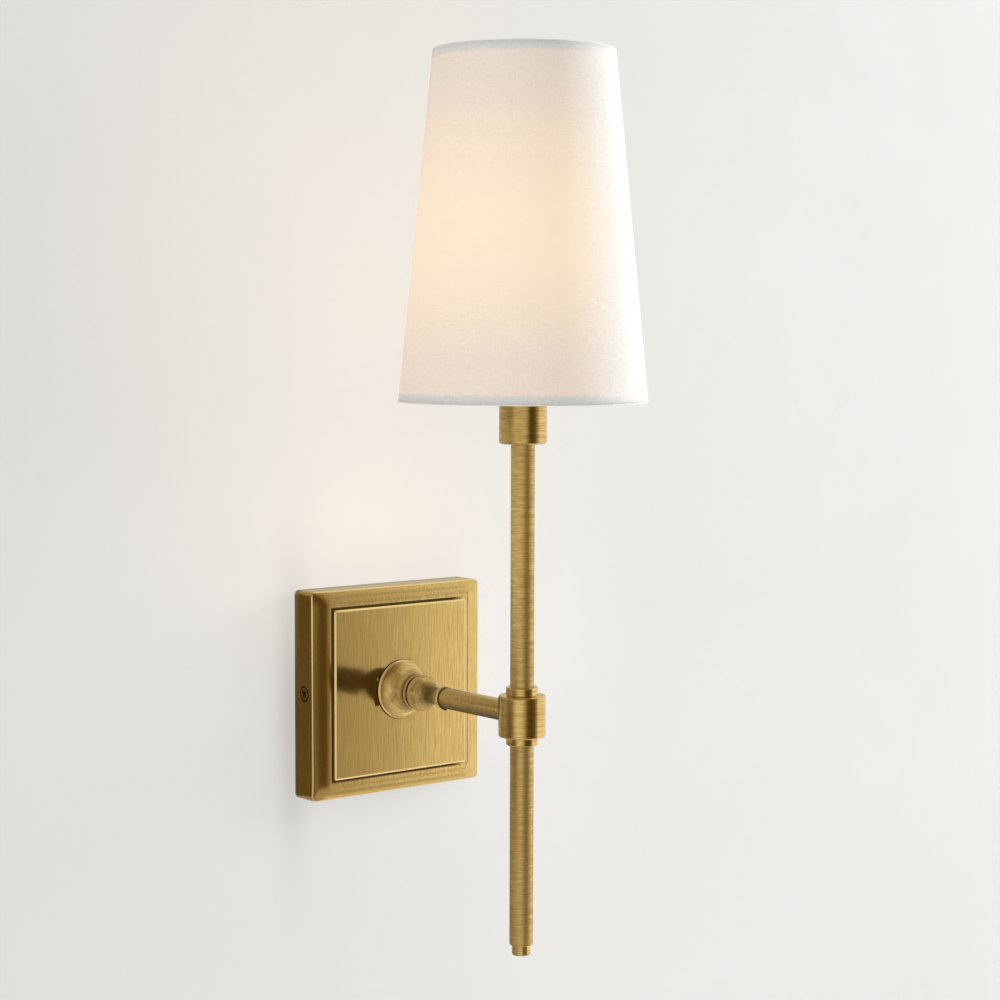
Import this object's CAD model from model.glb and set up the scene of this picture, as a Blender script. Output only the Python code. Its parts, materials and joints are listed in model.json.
import math
import json
import bpy
import numpy as np
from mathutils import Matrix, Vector

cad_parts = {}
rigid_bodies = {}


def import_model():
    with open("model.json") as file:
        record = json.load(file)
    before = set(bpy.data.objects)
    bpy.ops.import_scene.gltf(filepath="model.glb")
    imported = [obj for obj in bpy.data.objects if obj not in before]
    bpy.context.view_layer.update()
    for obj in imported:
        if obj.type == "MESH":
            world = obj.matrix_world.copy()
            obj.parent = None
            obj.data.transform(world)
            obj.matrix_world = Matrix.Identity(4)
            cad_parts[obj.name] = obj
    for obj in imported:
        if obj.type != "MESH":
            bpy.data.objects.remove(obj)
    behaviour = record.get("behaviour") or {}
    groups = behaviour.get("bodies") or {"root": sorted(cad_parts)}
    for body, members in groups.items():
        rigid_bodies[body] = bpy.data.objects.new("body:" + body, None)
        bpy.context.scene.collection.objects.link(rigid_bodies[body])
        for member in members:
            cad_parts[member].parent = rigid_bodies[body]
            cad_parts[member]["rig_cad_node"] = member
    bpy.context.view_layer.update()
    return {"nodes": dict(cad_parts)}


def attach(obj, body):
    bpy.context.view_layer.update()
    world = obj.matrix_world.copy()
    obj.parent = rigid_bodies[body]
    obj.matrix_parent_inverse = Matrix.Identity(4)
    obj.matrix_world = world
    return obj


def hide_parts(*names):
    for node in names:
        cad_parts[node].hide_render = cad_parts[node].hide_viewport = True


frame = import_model()
print("frame loaded:", len(frame["nodes"]), "nodes")

mm = 0.001
rodY = -131.0  # the stems' axis, in front of the wall


# meshes from arrays of points

def meshFrom(name, points, faces, smooth=True):
    # points in mm; every face is smooth shaded unless asked otherwise
    mesh = bpy.data.meshes.new(name)
    mesh.from_pydata(np.asarray(points, float) * mm, [], faces)
    mesh.polygons.foreach_set("use_smooth", [smooth] * len(mesh.polygons))
    mesh.update()
    piece = bpy.data.objects.new(name, mesh)
    bpy.context.scene.collection.objects.link(piece)
    return piece


def gridFaces(rows, columns, closeRows):
    # four corners of each cell of a grid of points; the columns wrap round, the rows where asked
    r = np.arange(rows if closeRows else rows - 1)[:, None]
    c = np.arange(columns)[None, :]
    a = r * columns + c
    b = r * columns + (c + 1) % columns
    d = ((r + 1) % rows) * columns + c
    e = ((r + 1) % rows) * columns + (c + 1) % columns
    return np.stack([a, d, e, b], -1).reshape(-1, 4)


def softProfile(corners, steps=6, hold=0.2, most=0.45, sharp=0.35):
    # corners are (radius, station, round): each corner is replaced by an arc of that radius, tangent to both
    # its runs: trim = round * tan(turn / 2), at most a share of the run, arc points by turning the first run's
    # normal through the turn; where the turn is sharp, a point on each run, a short hold away from the corner,
    # keeps the shading of the long runs straight
    pts = np.array([c[:2] for c in corners], float)
    rounds = [c[2] if len(c) > 2 else 0.0 for c in corners]
    count = len(pts)
    line = []
    for k in range(count):
        here = pts[k]
        a = pts[k - 1] - here
        b = pts[(k + 1) % count] - here
        la, lb = np.linalg.norm(a), np.linalg.norm(b)
        a, b = a / la, b / lb
        turn = math.pi - math.acos(float(np.clip(a @ b, -1, 1)))
        trim = min(rounds[k] * math.tan(turn / 2), most * la, most * lb)
        held = turn > sharp
        if held and trim + hold < 0.49 * la:
            line.append(here + a * (trim + hold))
        if rounds[k] <= 0 or turn < 0.02:
            line.append(here)
        else:
            radius = trim / math.tan(turn / 2)
            start = here + a * trim
            side = b - (a @ b) * a
            side = side / np.linalg.norm(side)
            angles = np.linspace(0, turn, steps + 1)[:, None]
            line.extend(start + radius * (1 - np.cos(angles)) * side - radius * np.sin(angles) * a)
        if held and trim + hold < 0.49 * lb:
            line.append(here + b * (trim + hold))
    return np.array(line)


def turnedPoints(profile, axis, steps):
    # profile point (radius r, station s) at turn t goes to (r cos t, r sin t) round the axis at s along it
    t = np.linspace(0, 2 * math.pi, steps, endpoint=False)
    r, s = profile[:, 0][:, None], profile[:, 1][:, None]
    if axis == "rod":
        x, y, z = r * np.cos(t), rodY + r * np.sin(t), s + 0 * t
    else:
        x, y, z = -r * np.cos(t), -s + 0 * t, r * np.sin(t)
    return np.stack([x, y, z], -1)


def turned(name, corners, axis="rod", steps=128):
    # a closed profile carried once round its axis; the last profile point joins the first
    profile = softProfile(corners)
    points = turnedPoints(profile, axis, steps)
    return finishedShell(name, points.reshape(-1, 3), gridFaces(len(profile), steps, True))


def finishedShell(name, points, faces):
    # closed shells get outward normals from their own signed volume: sum of a . (b x c) over the triangles
    p = points[faces]
    volume = 0
    for i in (1, 2):
        volume += np.einsum("ij,ij->i", p[:, 0], np.cross(p[:, i], p[:, i + 1])).sum()
    if volume < 0:
        faces = faces[:, ::-1]
    return meshFrom(name, points, faces.tolist())


def squareLoop(half, corner, perCorner=12, perSide=60):
    # rounded rectangle of half sizes (x, z), or of one for both: four quarter arcs joined by straight sides
    flat = np.array(half, float) - corner
    quarter = math.pi / 2
    loop = []
    for k in range(4):
        here, there = (np.sign([math.cos(a), math.sin(a)]) for a in ((k + 0.5) * quarter, (k + 1.5) * quarter))
        arc = np.linspace(k * quarter, (k + 1) * quarter, perCorner)
        loop.append(flat * here + corner * np.stack([np.cos(arc), np.sin(arc)], -1))
        start = loop[-1][-1]
        end = flat * there + corner * np.array([math.cos(arc[-1]), math.sin(arc[-1])])
        share = np.linspace(0, 1, perSide + 2)[1:-1, None]
        loop.append(start + (end - start) * share)
    return np.concatenate(loop)


def ringStack(name, loops):
    # closed shell through loops one after another; each is (half, corner radius, depth or function, middle)
    rows = []
    for half, corner, depth, *middle in loops:
        flat = squareLoop(half, corner)
        if middle:
            flat = flat + middle[0]
        y = depth(flat) if callable(depth) else np.full(len(flat), float(depth))
        rows.append(np.stack([flat[:, 0], -y, flat[:, 1]], -1))
    points = np.array(rows)
    return finishedShell(name, points.reshape(-1, 3), gridFaces(len(rows), points.shape[1], True))


def cutWith(piece, cutters):
    # takes the cutters' solids out of the piece, then throws the cutters away
    for cutter in cutters:
        cut = piece.modifiers.new("cut", "BOOLEAN")
        cut.operation = "DIFFERENCE"
        cut.object = cutter
        cut.solver = "EXACT"
    graph = bpy.context.evaluated_depsgraph_get()
    mesh = bpy.data.meshes.new_from_object(piece.evaluated_get(graph))
    piece.modifiers.clear()
    old = piece.data
    piece.data = mesh
    bpy.data.meshes.remove(old)
    for cutter in cutters:
        bpy.data.objects.remove(cutter)
    return piece


# shader maths

class Sock:
    # a node socket that adds, multiplies and so on by making Math nodes
    def __init__(self, paint, socket):
        self.paint = paint
        self.socket = socket

    def calc(self, operation, other=None):
        values = {0: self} if other is None else {0: self, 1: other}
        return self.paint.node("ShaderNodeMath", {"operation": operation}, values)

    def __add__(self, other):
        return self.calc("ADD", other)

    def __sub__(self, other):
        return self.calc("SUBTRACT", other)

    def __rsub__(self, other):
        return self.paint.node("ShaderNodeMath", {"operation": "SUBTRACT"}, {0: other, 1: self})

    def __mul__(self, other):
        return self.calc("MULTIPLY", other)

    def __truediv__(self, other):
        return self.calc("DIVIDE", other)

    def __pow__(self, other):
        return self.calc("POWER", other)

    def clamp(self):
        return self.paint.node("ShaderNodeClamp", {}, {0: self})

    def abs(self):
        return self.calc("ABSOLUTE")


def reach(first, second):
    # length of the two together, such as the distance from an axis
    return (first * first + second * second) ** 0.5


def opaque(colour):
    # three numbers get a full alpha; a socket stays as it is
    return colour if isinstance(colour, Sock) else (*colour, 1)


class Paint:
    # a material under construction, or the studio's air
    def __init__(self, name, air=False):
        self.material = (bpy.data.worlds if air else bpy.data.materials).new(name)
        self.material.use_nodes = True
        self.tree = self.material.node_tree
        self.tree.nodes.clear()
        self.output = self.tree.nodes.new("ShaderNodeOutputWorld" if air else "ShaderNodeOutputMaterial")

    def node(self, kind, settings=None, inputs=None, out=0):
        # any node: its type, its settings, which are set first, then its sockets' values or links
        made = self.tree.nodes.new(kind)
        for key, value in (settings or {}).items():
            setattr(made, key, value)
        for key, value in (inputs or {}).items():
            socket = made.inputs[key]
            if isinstance(value, Sock):
                self.tree.links.new(value.socket, socket)
            else:
                socket.default_value = value
        return Sock(self, made.outputs[out])

    def place(self, scale=(1, 1, 1), turn=(0, 0, 0), shift=(0, 0, 0)):
        # object coordinates in metres, moved, turned and stretched
        coordinate = self.node("ShaderNodeTexCoord", out="Object")
        return self.node("ShaderNodeMapping", {}, {
            "Vector": coordinate, "Location": shift, "Rotation": turn, "Scale": scale})

    def split(self, vector):
        parts = self.node("ShaderNodeSeparateXYZ", {}, {0: vector}).socket.node
        return [Sock(self, output) for output in parts.outputs]

    def join(self, x, y, z):
        return self.node("ShaderNodeCombineXYZ", {}, {0: x, 1: y, 2: z})

    def vector(self, operation, first, second, slot=1):
        return self.node("ShaderNodeVectorMath", {"operation": operation}, {0: first, slot: second})

    def noise(self, vector, scale=1.0, detail=3.0, rough=0.55, warp=0.0):
        return self.node("ShaderNodeTexNoise", {}, {
            "Vector": vector, "Scale": scale, "Detail": detail, "Roughness": rough, "Distortion": warp})

    def spread(self, value, low, high, toLow=0.0, toHigh=1.0):
        limits = {1: low, 2: high, 3: toLow, 4: toHigh}
        return self.node("ShaderNodeMapRange", {"clamp": True}, {0: value, **limits})

    def spreadMm(self, value, low, high, toLow=0.0, toHigh=1.0):
        # the value is in metres, its limits in mm
        return self.spread(value, low * mm, high * mm, toLow, toHigh)

    def ramp(self, value, stops):
        # colours along the value; each stop is (place, colour)
        made = self.node("ShaderNodeValToRGB", {}, {0: value})
        elements = made.socket.node.color_ramp.elements
        while len(elements) < len(stops):
            elements.new(0.5)
        for element, (place, colour) in zip(elements, stops):
            element.position = place
            element.color = opaque(colour)
        return made

    def mix(self, factor, first, second):
        colours = {6: opaque(first), 7: opaque(second)}
        return self.node("ShaderNodeMix", {"data_type": "RGBA"}, {0: factor, **colours}, out=2)

    def bump(self, height, strength, distance=0.0002):
        return self.node("ShaderNodeBump", {}, {
            "Height": height, "Strength": strength, "Distance": distance}, out="Normal")

    def rays(self, *kinds):
        # 1 for rays of these kinds, such as Camera and Glossy
        sockets = [self.node("ShaderNodeLightPath", out=f"Is {kind} Ray") for kind in kinds]
        total = sockets[0]
        for socket in sockets[1:]:
            total = total + socket
        return total.clamp()

    def surface(self, **inputs):
        # one Principled shader, by short words for its sockets
        names = {"color": "Base Color", "rough": "Roughness", "metal": "Metallic", "normal": "Normal",
                 "stretch": "Anisotropic", "sheen": "Sheen Weight", "sheenRough": "Sheen Roughness",
                 "glow": "Emission Color", "glowStrength": "Emission Strength"}
        values = {names[k]: opaque(v) if isinstance(v, tuple) else v for k, v in inputs.items()}
        return self.finish(self.node("ShaderNodeBsdfPrincipled", {}, values))

    def finish(self, shader):
        self.tree.links.new(shader.socket, self.output.inputs["Surface"])
        return self.material


def wear(piece, material):
    # the piece's own slots all take this material
    data = piece.data
    if piece.get("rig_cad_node"):
        if not data.materials:
            data.materials.append(material)
        for k in range(len(data.materials)):
            data.materials[k] = material
    else:
        data.materials.clear()
        data.materials.append(material)
    return piece


def flatSheet(name, corners, material):
    return wear(meshFrom(name, corners, [(0, 1, 2, 3)], smooth=False), material)


def paintNodes(names, material):
    for name in names:
        wear(frame["nodes"][name], material)


# camera

cameraSetup = {"place": (-789.26, -1082.39, 209.80), "turn": (85.687, -0.159, -39.097), "lens": 82.62,
               "film": 36, "clip": (0.02, 50)}
cameraData = bpy.data.cameras.new("viewpoint")
cameraData.lens = cameraSetup["lens"]
cameraData.sensor_width = cameraSetup["film"]
cameraData.clip_start, cameraData.clip_end = cameraSetup["clip"]
camera = bpy.data.objects.new("viewpoint", cameraData)
camera.location = [v * mm for v in cameraSetup["place"]]
camera.rotation_euler = [math.radians(v) for v in cameraSetup["turn"]]
bpy.context.scene.collection.objects.link(camera)
bpy.context.scene.camera = camera
print("camera placed")


# brass

brassTone = {"light": (0.83, 0.565, 0.205), "dark": (0.58, 0.380, 0.125), "worn": (1.0, 0.74, 0.33),
             "deep": (0.06, 0.034, 0.008)}
greyTint = {"level": (0.10, 0.2, 0.3, 0.45, 0.6, 1.0), "green": (0.70, 0.82, 0.89, 0.95, 1.0, 1.03),
            "blue": (0.26, 0.40, 0.58, 0.80, 0.90, 1.03)}


def brushedBrass(name, grain, coarse, rough, lift=0.05, contrast=1.0, stretch=0.0, lathe=False, marks=None):
    # brush lines: noise squeezed across the lines and drawn out along them, at a fine and a coarse size; turned
    # pieces take them by distance from the arm's axis, distance along it and angle round it; marks gives two
    # masks, one for edges rubbed bright and one for dark corners that the cloth never reached
    paint = Paint(name)
    parts = paint.split(paint.place())
    if lathe:
        radius = reach(parts[0], parts[2])
        angle = parts[2].calc("ARCTAN2", parts[0])

        def spot(squeeze, slow):
            return paint.join(radius * squeeze, parts[1] * squeeze, angle * slow)
        finePlace, broadPlace = spot(*grain), spot(*coarse)
    else:
        finePlace, broadPlace = paint.place(grain), paint.place(coarse, shift=(0.31, 0.17, 0.53))
    fine = paint.noise(finePlace, 1.0, 3.0, 0.6)
    broad = paint.noise(broadPlace, 1.0, 2.0, 0.5)
    brush = fine * 0.6 + broad * 0.4
    patch = paint.noise(paint.place(), 38.0, 2.0, 0.5)
    lines = paint.spread(brush, 0.36, 0.64)
    away = 0.38 / contrast
    shade = paint.spread(lines * 0.8 + patch * 0.2, 0.5 - away, 0.5 + away)
    color = paint.mix(shade, brassTone["dark"], brassTone["light"])
    roughness = paint.spread(lines, 0.0, 1.0, rough * 1.15, rough * 0.88)
    if marks:
        worn, deep = marks(paint, parts)
        color = paint.mix(deep, paint.mix(worn, color, brassTone["worn"]), brassTone["deep"])
        roughness = roughness + deep * 0.3
    normal = paint.bump(brush, lift)
    return paint.surface(color=color, rough=roughness, metal=1.0, normal=normal, stretch=stretch)


def polishedOnly(piece):
    # seen in polished metal and by nothing else
    for kind in ("camera", "diffuse", "transmission", "volume_scatter", "shadow"):
        setattr(piece, "visible_" + kind, False)


def warmGrey(level):
    # grey that turns brown as it gets darker, as the room does in aged brass
    green, blue = (float(np.interp(level, greyTint["level"], greyTint[k])) for k in ("green", "blue"))
    return (level, level * green, level * blue)


def glowPaint(name, low, high, rightEdge=None, edgeFrom=(45.5, 47.0)):
    # brown-grey shine between two levels in soft clouds; rightEdge is its level from edgeFrom (mm) to the right
    paint = Paint(name)
    place = paint.place()
    color = paint.mix(paint.noise(place, 30.0), warmGrey(low), warmGrey(high))
    if rightEdge:
        color = paint.mix(paint.spreadMm(paint.split(place)[0], *edgeFrom), color, warmGrey(rightEdge))
    return paint.finish(paint.node("ShaderNodeEmission", {}, {"Color": color}))


def dimInBrass(piece, level, rightEdge=None, inset=0.3):
    # brass pieces see each other as dull brown: a thinner copy inside the piece stands for it in reflections
    mesh = piece.data.copy()
    count = len(mesh.vertices)
    points, normals = np.zeros(count * 3), np.zeros(count * 3)
    mesh.vertices.foreach_get("co", points)
    mesh.vertices.foreach_get("normal", normals)
    mesh.vertices.foreach_set("co", points - inset * mm * normals)
    copy = bpy.data.objects.new(piece.name + "Dim", mesh)
    bpy.context.scene.collection.objects.link(copy)
    wear(copy, glowPaint(copy.name, level * 0.9, level * 1.1, rightEdge))
    polishedOnly(copy)
    piece.visible_glossy = False


def squareReach(paint, parts, half, middle=(0, 0)):
    # distance outwards from a rectangle of the plate: the larger of the two ways, negative inside it
    across = (parts[0] - middle[0] * mm).abs() - half[0] * mm
    upward = (parts[2] - middle[1] * mm).abs() - half[1] * mm
    return across.calc("MAXIMUM", upward)


def band(paint, value, low, high, soft):
    # 1 from low to high, with soft ends (mm)
    rise = paint.spreadMm(value, low - soft, low + soft)
    return rise * paint.spreadMm(value, high - soft, high + soft, 1.0, 0.0)


stemBrass = brushedBrass("stemBrass", (150, 150, 2400), (60, 60, 900), 0.18, contrast=1.5)
rodBrass = brushedBrass("rodBrass", (150, 150, 2400), (60, 60, 900), 0.30, contrast=1.6, stretch=0.95)

# wall plate

plate = {"half": 60.0, "corner": 3.0, "edge": 1.0, "wall": 2.0, "depth": 17.0, "inside": 16.8, "rise": 3.0,
         "straightFrom": 0.78, "opening": (49.1, 50.2), "openingAt": (0.5, 0.35), "innerCorner": 0.9,
         "grooveFloor": 18.8, "grooveLip": 0.35, "panel": (47.35, 48.8), "panelAt": (0.75, 0.25),
         "panelFront": 20.9, "panelEdge": 1.05, "panelFall": 0.75, "bore": 5.05, "hold": 0.15,
         "seat": (4.9, 2.3, 2.6), "seatAt": (59.0, -9.3, 1.3)}
# where the plate is rubbed bright or stays dark (mm) and how strongly; the dark fades out towards the right
plateMarks = {"rim": (-0.8, -0.5), "rimDepth": (16.0, 16.6), "rimWorn": 0.75,
              "grooveSoft": 0.25, "grooveFade": (40.0, 48.0), "grooveDark": 0.92,
              "bevel": (-1.15, -1.05), "bevelSplit": 0.03, "bevelWorn": 0.7,
              "bevelFade": (40.0, 47.0), "bevelDark": 0.9,
              "foot": (17.2, 17.8), "footFade": (-6.0, 4.0), "footDark": 0.85}


def panMarks(paint, parts):
    # bright along the front's outer edge; dark in the groove
    marks, half = plateMarks, plate["half"]
    rim = paint.spreadMm(squareReach(paint, parts, (half, half)), *marks["rim"])
    groove = squareReach(paint, parts, plate["opening"], plate["openingAt"])
    worn = rim * paint.spreadMm(parts[1] * -1.0, *marks["rimDepth"], 0.0, marks["rimWorn"])
    deep = paint.spreadMm(groove, 0.0, marks["grooveSoft"], 1.0, 0.0)
    return worn, deep * paint.spreadMm(parts[0], *marks["grooveFade"], marks["grooveDark"], 0.0)


def panelMarks(paint, parts):
    # bright along the bevel; dark down its sides and where the flange meets it
    marks = plateMarks
    edge = paint.spreadMm(squareReach(paint, parts, plate["panel"], plate["panelAt"]), *marks["bevel"])
    bevelFoot = plate["panelFront"] - plate["panelFall"]
    split = (bevelFoot - marks["bevelSplit"], bevelFoot + marks["bevelSplit"])
    out = parts[1] * -1.0
    side = edge * paint.spreadMm(out, *split, 1.0, 0.0)
    foot = paint.spreadMm(reach(parts[0], parts[2]), *marks["foot"], marks["footDark"], 0.0)
    deep = (side * paint.spreadMm(parts[0], *marks["bevelFade"], marks["bevelDark"], 0.0)
            + foot * paint.spreadMm(parts[0], *marks["footFade"], 1.0, 0.0))
    return edge * paint.spreadMm(out, *split, 0.0, marks["bevelWorn"]), deep


brushed = {"grain": (3600, 3600, 110), "coarse": (1500, 1500, 60)}
plateBrass = brushedBrass("plateBrass", **brushed, rough=0.18, contrast=1.1, stretch=0.4, marks=panMarks)
panelBrass = brushedBrass("panelBrass", **brushed, rough=0.14, lift=0.03, stretch=0.5, marks=panelMarks)


def inward(half, inset):
    return (half[0] - inset, half[1] - inset)


def pillow(flat):
    # depth of the plate's front: full rise inside the opening, falling outwards by t * t, and from straightFrom
    # on by its tangent, where t is the share of the border crossed; once for each direction, then multiplied
    opening, middle, knee = np.array(plate["opening"]), np.array(plate["openingAt"]), plate["straightFrom"]
    t = np.clip(np.abs(flat - middle) - opening, 0, None) / (plate["half"] - opening - np.sign(flat) * middle)
    part = 1 - np.where(t < knee, t * t, 2 * knee * t - knee * knee)
    return plate["depth"] + plate["rise"] * part[:, 0] * part[:, 1]


def makeBackPan():
    half, corner, edge, inner = (plate[k] for k in ("half", "corner", "edge", "innerCorner"))
    opening, lip, hold, floor = (plate[k] for k in ("opening", "grooveLip", "hold", "grooveFloor"))
    middle = np.array(plate["openingAt"])
    lean = math.atan(2 * plate["rise"] * plate["straightFrom"] / (half - opening[0]))
    touch = edge * (1 - math.sin(lean))
    drop = edge * math.cos(lean)
    loops = [(half, corner, depth) for depth in (0.0, 6.0, 12.0, 15.3)]
    for angle in np.linspace(0, math.pi / 2 - lean, 7):
        inset = edge * (1 - math.cos(angle))
        rise = edge * math.sin(angle)

        def depth(flat, rise=rise):
            scale = (half - touch) / np.abs(flat).max()
            return pillow(flat * scale) - drop + rise
        loops.append((half - inset, corner - inset, depth))
    first, last = np.full(2, half - touch), np.array(opening) + lip
    for share in [0.02, *np.linspace(0, 0.98, 16)[1:], 1.0]:
        rounding = max(corner - touch - 10 * share, inner + lip)
        loops.append((first + (last - first) * share, rounding, pillow, middle * share))
    front = plate["depth"] + plate["rise"]
    for angle in np.linspace(0, math.pi / 2, 5)[1:]:
        out = lip * (1 - math.sin(angle))
        loops.append((inward(opening, -out), inner + out, front - lip + lip * math.cos(angle), middle))
    inside, bore, back = plate["inside"], plate["bore"], half - plate["wall"]
    loops += [(opening, inner, floor + hold, middle), (opening, inner, floor, middle),
              (inward(opening, hold), inner, floor, middle), (40, 3, floor), (bore, bore, floor),
              (bore, bore, inside), (40, 3, inside), (back - hold, 1.0, inside), (back, 1.0, inside),
              (back, 1.0, inside - hold), (back, 1.0, hold), (back, 1.0, 0.0), (half - hold, corner, 0.0)]
    pan = ringStack("backPan", loops)
    wide, narrow, deep = plate["seat"]
    x, y, z = plate["seatAt"]
    cones = []
    for side in (-1, 1):
        bpy.ops.mesh.primitive_cone_add(
            vertices=64, radius1=wide * mm, radius2=narrow * mm, depth=deep * mm,
            location=(side * x * mm, y * mm, z * mm), rotation=(0, -side * math.pi / 2, 0))
        cones.append(bpy.context.object)
    return wear(cutWith(pan, cones), plateBrass)


def makeFacePanel():
    half, front, edge, fall, middle = (plate["panel" + k] for k in ("", "Front", "Edge", "Fall", "At"))
    corner, floor, bore, hold = (plate[k] for k in ("innerCorner", "grooveFloor", "bore", "hold"))
    loops = [(inward(half, hold), corner, floor, middle), (half, corner, floor, middle),
             (half, corner, front - fall - hold, middle)]
    for inset in (0, 0.06, 0.12, edge - 0.12, edge - 0.06, edge):
        rounding, depth = max(corner - inset, 0.2), front - fall + fall * inset / edge
        loops.append((inward(half, inset), rounding, depth, middle))
    loops += [(inward(half, edge + hold), 0.25, front, middle), (40, 1, front), (20, 10, front),
              (bore + hold, bore + hold, front), (bore, bore, front), (bore, bore, floor)]
    return wear(ringStack("facePanel", loops), panelBrass)


pan = makeBackPan()
panel = makeFacePanel()
for piece, node in ((pan, "back_pan"), (panel, "face_panel")):
    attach(piece, "fixture")
    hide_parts(node)
    dimInBrass(piece, 0.47, rightEdge=1.0)
print("wall plate made")

# arm

arm = {"foot": 20.7, "flangeEnd": 39.4, "ball": 10.3, "ballCut": 10.25, "neck": 4.85, "neckEnd": 62.3,
       "beadEnd": 64.1, "radius": 5.95, "end": 124.45, "bore": 4.6, "saddle": 6.55}
# by distance from the arm's axis and distance out from the wall (mm): bright rims, and dark seams as (from, to,
# softness, share); the tube's underside is dark too
armWear = {"rim": (16.2, 16.6), "rimBright": (21.75, 22.6, 0.1), "rimDark": (21.5, 21.7), "bead": (6.6, 6.9),
           "beadBright": (62.2, 64.2, 0.1), "bright": 0.8,
           "dark": ((34.0, 35.6, 0.6, 0.5), (38.1, 39.7, 0.1, 1.0), (47.8, 58.0, 2.4, 0.66),
                    (61.1, 62.2, 0.2, 0.8)),
           "under": (-4.6, 0.2, 0.84), "underFrom": (64.2, 64.6)}


def armMarks(paint, parts):
    out = parts[1] * -1.0
    radius = reach(parts[0], parts[2])
    rim = paint.spreadMm(radius, *armWear["rim"])
    bead = paint.spreadMm(radius, *armWear["bead"])
    worn = rim * band(paint, out, *armWear["rimBright"]) + bead * band(paint, out, *armWear["beadBright"])
    low, high, share = armWear["under"]
    deep = paint.spreadMm(parts[2], low, high, share, 0.0) * paint.spreadMm(out, *armWear["underFrom"])
    deep = deep + rim * paint.spreadMm(out, *armWear["rimDark"], 1.0, 0.0)
    for low, high, soft, share in armWear["dark"]:
        deep = deep + band(paint, out, low, high, soft) * share
    return worn.clamp() * armWear["bright"], deep.clamp()


armBrass = brushedBrass("armBrass", (2400, 3.0), (1000, 1.6), 0.31, contrast=1.4, lathe=True, marks=armMarks)


def arcLine(start, middle, end, count):
    # points on the circle through three points, by its centre and the swept angle
    (ax, ay), (bx, by), (cx, cy) = start, middle, end
    d = 2 * (ax * (by - cy) + bx * (cy - ay) + cx * (ay - by))
    ux = ((ax**2 + ay**2) * (by - cy) + (bx**2 + by**2) * (cy - ay) + (cx**2 + cy**2) * (ay - by)) / d
    uy = ((ax**2 + ay**2) * (cx - bx) + (bx**2 + by**2) * (ax - cx) + (cx**2 + cy**2) * (bx - ax)) / d
    radius = math.hypot(ax - ux, ay - uy)
    angles = np.unwrap([math.atan2(y - uy, x - ux) for x, y in (start, middle, end)])
    sweep = np.linspace(angles[0], angles[2], count)
    return [(ux + radius * math.cos(a), uy + radius * math.sin(a)) for a in sweep]


foot, flangeEnd, ball, neck, beadEnd = (arm[k] for k in ("foot", "flangeEnd", "ball", "neck", "beadEnd"))
ballCentre = flangeEnd + math.sqrt(ball**2 - arm["ballCut"]**2)
neckStart = ballCentre + math.sqrt(ball**2 - neck**2)


def onBall(angle):
    return (ball * math.cos(angle), ballCentre + ball * math.sin(angle))


flangeLine = [(5.0, foot), (17.0, foot, 0.3), (17.0, 22.2, 0.5), (16.2, 23.0, 0.3)]
flangeLine += arcLine((16.0, 23.0), (10.8, 27.4), (9.5, 35.3), 20)
flangeLine += [(9.5, 35.45, 0.05), (9.75, 35.45, 0.1)] + arcLine((9.85, 35.5), (10.3, 36.85), (9.85, 38.2), 11)
flangeLine += [(9.3, 38.35, 0.15), (9.3, 38.9, 0.2), (9.6, flangeEnd), (5.0, flangeEnd)]
knuckleLine = [(5.0, flangeEnd), (10.0, flangeEnd, 0.2)]
knuckleLine += arcLine(onBall(-0.02), onBall(0.45), (neck + 0.1, neckStart - 0.05), 26)
knuckleLine += [(neck, neckStart + 0.2, 0.7), (neck, 58.3, 6.0), (5.2, 61.0, 3.0), (6.5, arm["neckEnd"], 0.5),
                (7.2, 62.5, 0.3), (7.2, 64.0, 0.5), (6.1, beadEnd, 0.1), (4.55, beadEnd), (4.55, 72.1),
                (3.0, 72.1), (3.0, 48.4), (5.0, 48.4)]
radius, bore, end = arm["radius"], arm["bore"], arm["end"]
armLine = [(bore, beadEnd), (radius, beadEnd, 0.2), (radius, end), (bore, end)]
armFlange = wear(turned("armFlange", flangeLine, "arm", 160), armBrass)
armKnuckle = wear(turned("armKnuckle", knuckleLine, "arm", 160), armBrass)
armTube = turned("armTube", armLine, "arm")
bpy.ops.mesh.primitive_cylinder_add(
    vertices=128, radius=arm["saddle"] * mm, depth=30 * mm, location=(0, rodY * mm, 0))
wear(cutWith(armTube, [bpy.context.object]), armBrass)
for piece, node in ((armFlange, "arm_flange"), (armKnuckle, "arm_knuckle"), (armTube, "arm_tube")):
    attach(piece, "fixture")
    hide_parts(node)
dimInBrass(armFlange, 0.07)
dimInBrass(armKnuckle, 0.08)
# a dark card along the arm is what the panel reflects of the tube
armTube.visible_glossy = False
cardCorners = [(0, -62, 6.2), (0, -122, 6.0), (0, -122, -9.0), (0, -62, -9.4)]
polishedOnly(flatSheet("armCard", cardCorners, glowPaint("armCardPaint", 0.05, 0.07)))
print("arm made")

# coupler, stems and cup

stems = {
    "couplerBody": ("coupler_body", [(6.55, -12.3), (12.9, -12.3, 0.8), (12.9, 10.3, 0.8), (6.55, 10.3)]),
    "upperCollar": ("upper_collar", [(6.55, 10.3), (8.7, 10.3), (8.7, 14.9, 0.5), (6.55, 14.9, 0.15)]),
    "lowerCollar": ("lower_collar", [(6.55, -16.9, 0.15), (8.7, -16.9, 0.5), (8.7, -12.3), (6.55, -12.3)]),
    "upperStem": ("upper_stem", [(5.0, 6.5), (6.5, 6.5), (6.5, 147.0), (5.0, 147.0)]),
    "lowerStem": ("lower_stem", [(5.0, -127.3), (6.5, -127.3, 0.35), (6.5, -6.5), (5.0, -6.5)]),
    "socketCup": ("socket_cup", [(5.0, 147.0), (12.9, 147.0, 1.3), (12.9, 183.0, 0.25), (11.9, 183.0, 0.25),
                                 (11.9, 148.6), (5.0, 148.6)]),
}
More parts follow.
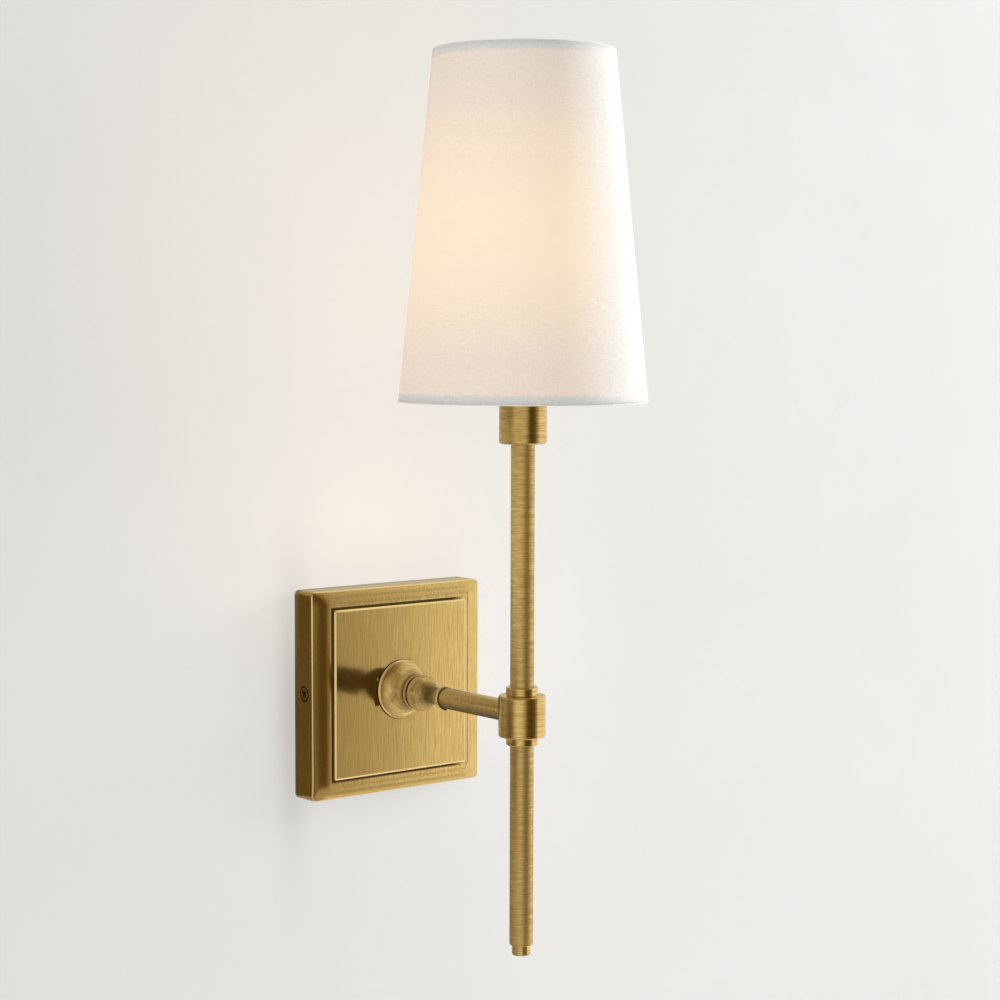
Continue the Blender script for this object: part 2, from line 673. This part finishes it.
for name, (node, corners) in stems.items():
    piece = wear(turned(name, corners), rodBrass if name.endswith("Stem") else stemBrass)
    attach(piece, "fixture")
    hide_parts(node)


def flipOutwards(mesh):
    # signed volume over the triangles; a negative one means that the faces point inwards
    mesh.calc_loop_triangles()
    corners = np.zeros(len(mesh.loop_triangles) * 3, np.int64)
    mesh.loop_triangles.foreach_get("vertices", corners)
    points = np.zeros(len(mesh.vertices) * 3)
    mesh.vertices.foreach_get("co", points)
    p = points.reshape(-1, 3)[corners.reshape(-1, 3)]
    if np.einsum("ij,ij->i", p[:, 0], np.cross(p[:, 1], p[:, 2])).sum() < 0:
        mesh.flip_normals()
    mesh.update()


def spun(name, corners, steps=96):
    # a profile that starts and ends on the stems' axis; its end points are single poles
    profile = softProfile(corners)
    inner = turnedPoints(profile[1:-1], "rod", steps).reshape(-1, 3)
    poles = turnedPoints(profile[[0, -1]] * [0, 1], "rod", 1).reshape(-1, 3)
    rows = len(profile) - 2
    k = np.arange(steps)
    after = (k + 1) % steps
    topRow = (rows - 1) * steps
    lower = np.stack([np.full(steps, rows * steps), k, after], -1)
    upper = np.stack([np.full(steps, rows * steps + 1), topRow + after, topRow + k], -1)
    faces = gridFaces(rows, steps, False).tolist() + lower.tolist() + upper.tolist()
    piece = meshFrom(name, np.concatenate([inner, poles]), faces)
    flipOutwards(piece.data)
    return piece


tipLine = [(0, -133.2), (5.1, -133.2, 0.8), (5.1, -127.3), (4.95, -127.3), (4.95, -120.8), (0, -120.8)]
endTip = wear(spun("endTip", tipLine), stemBrass)
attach(endTip, "fixture")
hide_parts("end_tip")
print("coupler, stems and cup made")

# shade

shade = {"low": 169.5, "high": 356.9, "lowRadius": 67.3, "highRadius": 48.9, "cloth": 0.6, "gap": 0.05,
         "liner": 0.5, "hem": 4.6, "fold": 0.5, "wire": 1.2}
weaving = {"girth": 0.058, "threadsAround": 7800.0, "threadsUp": 8200.0, "threads": 0.12, "slubs": 0.5,
           "long": 220, "short": 1500, "cloud": 90, "rough": 0.92, "sheen": 0.25}
# the glow by height, from the bulb in the middle to the hems, and the turns between which daylight drowns it
shadeGlow = {"stops": [
    (0.0, (0.0, 0.0, 0.0)), (0.022, (0.0, 0.0, 0.0)), (0.030, (0.19, 0.088, 0.020)),
    (0.12, (0.21, 0.10, 0.022)), (0.26, (0.30, 0.155, 0.028)), (0.40, (0.36, 0.197, 0.038)),
    (0.55, (0.36, 0.197, 0.036)), (0.72, (0.30, 0.150, 0.018)), (0.86, (0.19, 0.085, 0.012)),
    (0.970, (0.15, 0.07, 0.008)), (0.978, (0.0, 0.0, 0.0)), (1.0, (0.0, 0.0, 0.0))],
    "dayFrom": (-0.20, 0.22), "dayTo": (2.4, 2.8), "drowned": 0.8, "dapple": (0.90, 1.09)}


def coneRadius(z, inset):
    slope = (shade["lowRadius"] - shade["highRadius"]) / (shade["high"] - shade["low"])
    return shade["lowRadius"] - slope * (z - shade["low"]) - inset


def coneShell(name, inset, thick, steps=256, rows=60):
    # between the folds of the hems: outer wall up, inner wall down, joined round both rims
    z = np.linspace(shade["low"] + shade["fold"], shade["high"] - shade["fold"], rows)
    outer = np.stack([coneRadius(z, inset), z], -1)
    inner = np.stack([coneRadius(z[::-1], inset + thick), z[::-1]], -1)
    points = turnedPoints(np.concatenate([outer, inner]), "rod", steps)
    return finishedShell(name, points.reshape(-1, 3), gridFaces(2 * rows, steps, True))


def shadeHeight(z):
    # 0 at the lower rim and 1 at the upper one
    return (z - shade["low"] * mm) / ((shade["high"] - shade["low"]) * mm)


def linen(name, dull, fair, lit=True):
    # plain weave: two sets of threads from sine waves round the shade and up it, and slubs from drawn-out noise
    paint = Paint(name)
    place = paint.node("ShaderNodeTexCoord", out="Object")
    x, y, z = paint.split(paint.vector("SUBTRACT", place, (0, rodY * mm, 0)))
    around = y.calc("ARCTAN2", x) * weaving["girth"]
    flat = paint.join(around, z, 0.0)

    def threads(across, upward):
        return paint.noise(paint.vector("MULTIPLY", flat, (across, upward, 1)), 1.0, 3.0, 0.6)
    slubs = threads(weaving["short"], weaving["long"]) + threads(weaving["long"], weaving["short"])
    cloud = threads(weaving["cloud"], weaving["cloud"])
    crossing = (around * weaving["threadsAround"]).calc("SINE") * (z * weaving["threadsUp"]).calc("SINE")
    weave = crossing * weaving["threads"] + slubs * weaving["slubs"]
    thread = paint.spread(weave, 0.3, 0.7)
    inputs = {"color": paint.mix(thread, dull, fair), "rough": weaving["rough"], "sheen": weaving["sheen"],
              "sheenRough": 0.5, "normal": paint.bump(weave, 0.35, 0.0004)}
    if lit:
        warm = paint.ramp(shadeHeight(z) + (cloud - 0.5) * 0.004, shadeGlow["stops"])
        facing = x.calc("ARCTAN2", y * -1.0)
        dayEnd = paint.spread(facing, *shadeGlow["dayTo"], 1.0, 0.0)
        dayside = paint.spread(facing, *shadeGlow["dayFrom"]) * dayEnd
        dapple = paint.spread(thread * 0.7 + cloud * 0.3, 0.2, 0.8, *shadeGlow["dapple"])
        level = dapple * (1.0 - dayside * shadeGlow["drowned"])
        inputs.update(glow=paint.vector("SCALE", warm, level, "Scale"), glowStrength=1.0)
    return paint.surface(**inputs)


def linerFilm():
    paint = Paint("linerFilm")
    cloud = paint.noise(paint.place(), 60.0, 3.0, 0.5)
    height = shadeHeight(paint.split(paint.place())[2])
    color = paint.mix(cloud, (0.84, 0.82, 0.78), (0.90, 0.88, 0.84))
    stops = [(0.0, (0.22, 0.16, 0.10)), (0.45, (0.55, 0.42, 0.28)), (1.0, (0.20, 0.15, 0.10))]
    glow = paint.ramp(height, stops)
    return paint.surface(color=color, rough=0.55, glow=glow, glowStrength=0.35)


def hemRing(name, rim, way, steps=256):
    # cloth folded over the rim: a flat lap on the rim, then along the inside of the wire ring; way is 1 up from
    # the lower rim and -1 down from the upper one
    fold, gap, wire = shade["fold"], shade["gap"], shade["wire"]
    far = rim + way * (fold + gap + wire * (1 - way))
    layers = shade["cloth"] + gap + shade["liner"]
    inner = coneRadius(far, layers + gap + wire + 0.1) - wire - gap - fold
    end, lap = rim + way * shade["hem"], rim + way * fold
    corners = [(coneRadius(rim, 0), rim, 0.22), (inner, rim, 0.45), (inner, end, 0.2), (inner + fold, end, 0.2),
               (inner + fold, lap, 0.2), (coneRadius(lap, 0), lap, 0.05)]
    return turned(name, corners, steps=steps)


litLinen = linen("glowingLinen", (0.76, 0.745, 0.71), (0.93, 0.92, 0.895))
hemLinen = linen("hemLinen", (0.88, 0.885, 0.88), (0.98, 0.985, 0.98), False)
cloth = wear(coneShell("shadeCloth", 0, shade["cloth"]), litLinen)
liner = wear(coneShell("shadeLiner", shade["cloth"] + shade["gap"], shade["liner"]), linerFilm())
topHem = wear(hemRing("topHemFold", shade["high"], -1), hemLinen)
bottomHem = wear(hemRing("bottomHemFold", shade["low"], 1), hemLinen)
for piece, node, slotName in ((cloth, "shade_fabric", "linen"), (liner, "shade_liner", "liner_film"),
                              (topHem, "top_hem", "linen"), (bottomHem, "bottom_hem", "linen")):
    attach(piece, "shade")
    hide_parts(node)
    piece.visible_glossy = False  # the lit inside would colour the brass below it
print("shade made")

# plain materials for the inner pieces

def plainPaint(name, first, second, rough, metal=0.0, size=300.0, lift=0.1, **more):
    # two close tones mixed by noise, with a fine bump of the same noise
    paint = Paint(name)
    speck = paint.noise(paint.place(), size, 4.0, 0.6)
    color = paint.mix(paint.spread(speck, 0.35, 0.65), first, second)
    roughness = paint.spread(speck, 0.3, 0.7, rough * 0.85, rough * 1.15)
    return paint.surface(color=color, rough=roughness, metal=metal, normal=paint.bump(speck, lift), **more)


crossScrew = {"turn": (0.87, 0.5), "halfWidth": (0.42, 0.55), "halfLength": (2.1, 2.4), "seat": (3.2, 3.8),
              "dark": (0.05, 0.03, 0.01)}


def screwPaint():
    # aged brass head, dark where it meets its seat and in its cross
    paint = Paint("agedScrewBrass")
    _, down, side = plate["seatAt"]
    _, y, z = paint.split(paint.place(shift=(0, -down * mm, -side * mm)))
    cos, sin = crossScrew["turn"]
    a = (y * cos + z * sin).abs()
    b = (z * cos - y * sin).abs()

    def bar(across, along):
        width = paint.spreadMm(across, *crossScrew["halfWidth"], 1.0, 0.0)
        return width * paint.spreadMm(along, *crossScrew["halfLength"], 1.0, 0.0)
    dark = (bar(a, b) + bar(b, a) + paint.spreadMm(reach(y, z), *crossScrew["seat"])).clamp()
    speck = paint.noise(paint.place(), 700.0, 4.0, 0.6)
    color = paint.mix(dark, paint.mix(speck, (0.52, 0.35, 0.11), (0.70, 0.48, 0.17)), crossScrew["dark"])
    return paint.surface(color=color, rough=0.3, metal=1.0, normal=paint.bump(speck, 0.1))


paintNodes(["cover_screws"], screwPaint())
# the pieces, their material's name, its two tones, roughness, share of metal and size of the specks
black = ((0.03, 0.028, 0.025), (0.05, 0.045, 0.04))
for names, material, tones, rough, *more in (
        (["mounting_bracket", "arm_nipple", "lock_washer", "lock_nut", "socket_nipple", "cup_nut"],
         "zincPlate", ((0.52, 0.53, 0.55), (0.66, 0.67, 0.68)), 0.35, 1.0, 220),
        (["ground_screw"], "greenScrew", ((0.03, 0.20, 0.06), (0.05, 0.28, 0.09)), 0.4, 0.0, 260),
        (["wire_bushing"], "bushingPlastic", ((0.02, 0.02, 0.02), (0.035, 0.035, 0.035)), 0.5),
        (["socket_base", "socket_body"], "holderMoulding", black, 0.45),
        (["shade_ring"], "ringMoulding", black, 0.4),
        (["screw_shell", "centre_contact", "socket_rivets"], "brightBrass",
         ((0.72, 0.52, 0.2), (0.85, 0.64, 0.28)), 0.22, 1.0),
        (["line_lead"], "blackLead", ((0.015, 0.015, 0.015), (0.03, 0.03, 0.03)), 0.45),
        (["neutral_lead"], "whiteLead", ((0.72, 0.72, 0.70), (0.82, 0.82, 0.80)), 0.45),
        (["earth_lead"], "greenLead", ((0.03, 0.20, 0.06), (0.05, 0.27, 0.09)), 0.45),
        (["wire_connectors"], "connectorMoulding", ((0.62, 0.20, 0.02), (0.72, 0.26, 0.035)), 0.5),
        (["top_wire_ring", "bottom_wire_ring", "shade_spider"], "whiteWire",
         ((0.76, 0.75, 0.72), (0.86, 0.85, 0.82)), 0.4),
        (["bulb_cap"], "capMetal", ((0.68, 0.68, 0.68), (0.8, 0.8, 0.8)), 0.3, 1.0),
        (["bulb_contact"], "solder", ((0.45, 0.45, 0.43), (0.58, 0.58, 0.56)), 0.4, 1.0),
        (["filament_mount"], "mountGlass", ((0.85, 0.86, 0.86), (0.92, 0.93, 0.93)), 0.1),
        (["filament"], "filamentWire", ((0.3, 0.3, 0.3), (0.4, 0.4, 0.4)), 0.5, 1.0)):
    paintNodes(names, plainPaint(material, *tones, rough, *more))
frosted = plainPaint("frostedGlass", (0.92, 0.90, 0.85), (0.97, 0.95, 0.90), 0.5,
                     glow=(1.0, 0.82, 0.60), glowStrength=0.5)
paintNodes(["bulb_glass"], frosted)
print("inner pieces painted")

# studio

wallTones = {"dull": (0.732, 0.718, 0.692), "fair": (0.848, 0.839, 0.822), "seen": 0.80}
# the lamp's spill on the wall: middle and half widths in metres, how strong, colour; last, the shade beside the
# plate's left side, which is weaker higher up
wallSpills = [((-0.01, 0.24), (0.15, 0.17), 0.6, (0.91, 0.84, 0.735)),
              ((0.0, 0.095), (0.085, 0.055), 0.85, (0.98, 0.90, 0.80)),
              ((0.075, 0.0), (0.022, 0.06), 0.55, (1.0, 0.97, 0.93)),
              ((0.130, 0.04), (0.055, 0.19), 0.38, (1.0, 0.98, 0.95)),
              ((-0.0615, -0.005), (0.011, 0.078), None, (0.34, 0.31, 0.28))]


def plasterWall():
    # pale plaster: soft clouds, a few trowel marks, and the lamp's warm spill, painted by place on the wall; it
    # is clear from behind
    paint = Paint("plasterWall")
    place = paint.place()
    x, _, z = paint.split(place)
    cloud = paint.noise(place, 7.0, 5.0, 0.6, 0.6)
    trowel = paint.noise(paint.place((16, 16, 16), turn=(0, 0.6, 0)), 1.0, 6.0, 0.75, 1.5)
    side = paint.spread(x - paint.spread(z, 0.1, 0.45, 0.0, 0.16), -0.55, 0.25)
    tone = paint.mix(side, wallTones["dull"], wallTones["fair"])
    for middle, half, strength, colour in wallSpills:
        dx, dz = (x - middle[0]) / half[0], (z - middle[1]) / half[1]
        spill = ((dx * dx + dz * dz) * -1.0).calc("EXPONENT")
        tone = paint.mix(spill * (strength or paint.spread(z, -0.06, 0.06, 0.44, 0.34)), tone, colour)
    tone = paint.mix(paint.spread(cloud, 0.3, 0.7, 0.0, 0.16), tone, (0.70, 0.69, 0.67))
    tone = paint.mix(paint.spread(trowel, 0.62, 0.68, 0.0, 0.10), tone, (0.66, 0.65, 0.63))
    normal = paint.bump(cloud * 0.4 + trowel * 0.6, 0.2, 0.002)
    diffuse = paint.node("ShaderNodeBsdfDiffuse", {}, {"Color": tone, "Normal": normal})
    emission = paint.node("ShaderNodeEmission", {}, {"Color": tone})
    seen = paint.rays("Camera", "Glossy", "Transmission") * wallTones["seen"]
    front = paint.node("ShaderNodeMixShader", {}, {0: seen, 1: diffuse, 2: emission})
    behind = paint.node("ShaderNodeNewGeometry", out="Backfacing")
    clear = paint.node("ShaderNodeBsdfTransparent")
    return paint.finish(paint.node("ShaderNodeMixShader", {}, {0: behind, 1: front, 2: clear}))


wallCorners = [(-3000, 0.6, -750), (3000, 0.6, -750), (3000, 0.6, 2600), (-3000, 0.6, 2600)]
floorCorners = [(-5000, -6000, -750), (5000, -6000, -750), (5000, 5000, -750), (-5000, 5000, -750)]
floorPaint = plainPaint("floorPaint", (0.74, 0.73, 0.71), (0.80, 0.79, 0.77), 0.8, 0.0, 3.0, 0.02)
wall = flatSheet("plasterWallSheet", wallCorners, plasterWall())
floor = flatSheet("paleFloor", floorCorners, floorPaint)
wall.visible_glossy = False


# level of the screen by the turn round its middle: 0 is straight out from the wall, +90 is camera right; one
# ramp for each height, from the lowest up
rightHalf = [(13, 0.11), (19, 0.16), (24, 0.25), (29, 0.34), (33, 0.41), (38.5, 0.47), (39.9, 0.60),
             (41.2, 0.95), (43, 1.10), (60, 1.02), (110, 1.0), (141, 0.60), (165, 0.50)]
tentLevels = {
    "floor": [(-180, 0.70), (0, 0.60), (180, 0.70)],
    "base": [(-180, 0.50), (-118, 0.30), (-80, 0.48), (-20, 0.50), (58, 0.46), (62, 0.52), (64, 0.90),
             (66, 1.05), (130, 0.85), (180, 0.50)],
    "low": [(-180, 0.45), (-150, 0.42), (-118, 0.27), (-95, 0.26), (-80, 0.48), (-45, 0.58), (-20, 0.50),
            (10, 0.45), (34, 0.48), (43, 0.50), (47, 0.57), (49.3, 0.90), (51, 1.05), (90, 1.0),
            (130, 0.85), (165, 0.46), (180, 0.45)],
    "lowerRod": [(-180, 0.34), (-150, 0.38), (-120, 0.43), (-95, 0.50), (-70, 0.62), (-50, 0.76),
                 (-38, 0.78), (-30, 0.70), (-22, 0.46), (-14, 0.24), (-5, 0.13), (5, 0.12), *rightHalf[1:],
                 (180, 0.34)],
    "coupler": [(-180, 0.36), (-150, 0.36), (-132, 0.34), (-120, 0.28), (-110, 0.13), (-101, 0.08),
                (-91, 0.09), (-82, 0.24), (-74, 0.56), (-64, 0.84), (-50, 0.87), (-42, 0.80), (-34, 0.66),
                (-26, 0.46), (-19, 0.26), (-12, 0.10), (12, 0.09), (24, 0.13), (30, 0.28), *rightHalf[4:],
                (180, 0.36)],
    "upperRod": [(-180, 0.58), (-160, 0.70), (-141, 0.74), (-126, 0.74), (-100, 0.74), (-89, 0.78),
                 (-78, 0.82), (-68, 0.80), (-58, 0.76), (-48, 0.75), (-38, 0.72), (-29, 0.60), (-20, 0.36),
                 (-11, 0.18), (-2, 0.12), *rightHalf, (180, 0.58)],
    "cup": [(-180, 0.52), (-150, 0.42), (-123, 0.29), (-106, 0.22), (-96, 0.22), (-86, 0.38), (-77, 0.55),
            (-60, 0.58), (-38, 0.60), (-29, 0.66), (-20, 0.54), (-12, 0.28), (-4, 0.10), (12, 0.09),
            (22, 0.16), (28, 0.34), (35, 0.45), (40, 0.48), (43, 0.80), (60, 0.95), (110, 0.90),
            (141, 0.60), (165, 0.50), (180, 0.52)],
    "high": [(-180, 0.45), (-150, 0.42), (-118, 0.27), (-105, 0.22), (-95, 0.24), (-85, 0.42), (-60, 0.60),
             (-30, 0.55), (-22, 0.42), (-15, 0.22), (-8, 0.11), (12, 0.10), (24, 0.16), (34, 0.43),
             (40.4, 0.46), (42.4, 0.80), (44, 1.0), (84, 0.95), (130, 0.85), (165, 0.46), (180, 0.45)],
    "top": [(-180, 0.45), (-118, 0.30), (-80, 0.45), (-22, 0.42), (-8, 0.14), (12, 0.12), (34, 0.42),
            (47, 0.45), (48.8, 0.80), (51, 0.98), (84, 0.80), (130, 0.85), (180, 0.45)]}
# share of the radius between which each takes over from the one below
tentHeights = {"base": (-0.94, -0.90), "low": (-0.71, -0.67), "lowerRod": (-0.50, -0.43),
               "coupler": (-0.31, -0.27), "upperRod": (-0.150, -0.135), "cup": (0.067, 0.074),
               "high": (0.17, 0.22), "top": (0.38, 0.46)}
tentSize = {"radius": 950.0, "middle": (0, -100, 30), "rows": 48, "steps": 96}


def lightTent():
    # a round screen, painted by the turn round its middle: pale on the right, grey in front on the left, and a
    # dark gap between them
    radius, rows, steps = (tentSize[k] for k in ("radius", "rows", "steps"))
    t = np.linspace(0, 2 * math.pi, steps, endpoint=False)[None, :]
    e = np.linspace(-math.pi / 2, math.pi / 2, rows + 2)[1:-1][:, None]
    ball = np.stack([np.cos(e) * np.cos(t), np.cos(e) * np.sin(t), np.sin(e) + 0 * t], -1)
    points = (tentSize["middle"] + radius * ball).reshape(-1, 3)
    tent = meshFrom("lightTent", points, gridFaces(rows, steps, False).tolist())
    paint = Paint("tentCloth")
    x, y, z = paint.split(paint.place(shift=[-v * mm for v in tentSize["middle"]]))
    share = x.calc("ARCTAN2", y * -1.0) / (2 * math.pi) + 0.5
    color = None
    for part, levels in tentLevels.items():
        ramp = paint.ramp(share, [(degrees / 360 + 0.5, warmGrey(level)) for degrees, level in levels])
        color = paint.mix(paint.spread(z / (radius * mm), *tentHeights[part]), color, ramp) if color else ramp
    wear(tent, paint.finish(paint.node("ShaderNodeEmission", {}, {"Color": color})))
    polishedOnly(tent)


lightTent()
# the plate's own shadow on the wall beside it, as its left side sees it
shadeCorners = [(-88, 2, -62), (-60.1, 2, -62), (-60.1, 2, 62), (-88, 2, 62)]
polishedOnly(flatSheet("shadeCard", shadeCorners, glowPaint("shadeCardPaint", 0.13, 0.16)))


def addLamp(name, kind, place, settings):
    data = bpy.data.lights.new(name, kind)
    for key, value in settings.items():
        setattr(data, key, value)
    lamp = bpy.data.objects.new(name, data)
    bpy.context.scene.collection.objects.link(lamp)
    lamp.location = place
    lamp.visible_glossy = False
    return lamp


def softLamp(name, place, aim, size, power):
    lamp = addLamp(name, "AREA", place, {"shape": "DISK", "size": size, "energy": power})
    lamp.rotation_euler = (Vector(aim) - Vector(place)).to_track_quat("-Z", "Y").to_euler()


softLamp("keyRight", (1.83, -0.67, 0.55), (0, -0.1, 0.2), 0.8, 42.3)
softLamp("fillFront", (-1.75, -1.55, 1.0), (0, 0, 0.1), 1.6, 20.7)
softLamp("rearFill", (0.4, 2.2, 0.8), (0, 0, 0.0), 1.5, 8)
bulbGlow = {"energy": 0.12, "color": (1.0, 0.80, 0.58), "shadow_soft_size": 0.012}
addLamp("bulbGlow", "POINT", (0, rodY * mm, 0.300), bulbGlow)

air = Paint("studioAir", air=True)
bpy.context.scene.world = air.material
level = air.spread(air.rays("Camera", "Glossy"), 0.0, 1.0, 0.28, 0.85)
air.finish(air.node("ShaderNodeBackground", {}, {"Color": (1, 0.995, 0.985, 1), "Strength": level}))
bpy.context.scene.view_settings.view_transform = "Standard"
print("studio made")
